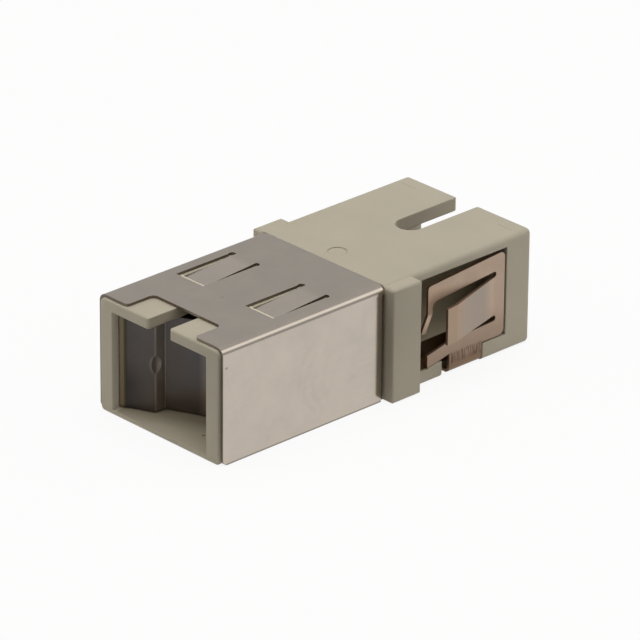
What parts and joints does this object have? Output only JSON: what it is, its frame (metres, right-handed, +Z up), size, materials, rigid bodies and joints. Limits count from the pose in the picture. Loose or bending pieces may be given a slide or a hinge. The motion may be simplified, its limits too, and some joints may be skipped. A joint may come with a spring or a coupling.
{
  "type": "simplex fibre coupler",
  "caption": "Rectangular fibre coupler with a shuttered front port, a sheet-steel shield, a rear port and a sprung panel clip; joins push-pull plugs end to end.",
  "frame": {"origin": "middle of the underside, halfway along the length", "axes": "+Z up through the top with the key slots, -Y out of the shuttered front port, +X to the right seen from the front"},
  "size_m": [0.0154, 0.0302, 0.009],
  "materials": {
    "housing_plastic": "satin moulded beige plastic",
    "shield_steel": "satin rolled stainless sheet",
    "clip_copper": "satin copper-alloy spring sheet",
    "shutter_steel": "smooth rolled steel sheet",
    "pin_steel": "ground steel wire",
    "spring_steel": "drawn spring wire",
    "holder_plastic": "satin moulded beige plastic",
    "sleeve_bronze": "ground phosphor bronze"
  },
  "bodies": {
    "coupler": {"housing": "housing_plastic", "front_shield": "shield_steel", "panel_clip": "clip_copper", "shutter_pin": "pin_steel", "shutter_spring": "spring_steel", "front_sleeve_holder": "holder_plastic", "rear_sleeve_holder": "holder_plastic", "split_sleeve": "sleeve_bronze"},
    "shutter": {"shutter_leaf": "shutter_steel"}
  },
  "joints": [
    {"name": "shutter_swing", "type": "hinge", "parent": "coupler", "child": "shutter", "pos_m": [-0.00521, -0.01406, 0.00425], "axis": [0, 0, 1], "range_deg": [0, 65], "stiffness_Nm_per_rad": 0.0002, "springref_deg": -57.3, "deforming": ["shutter_spring"]}
  ]
}
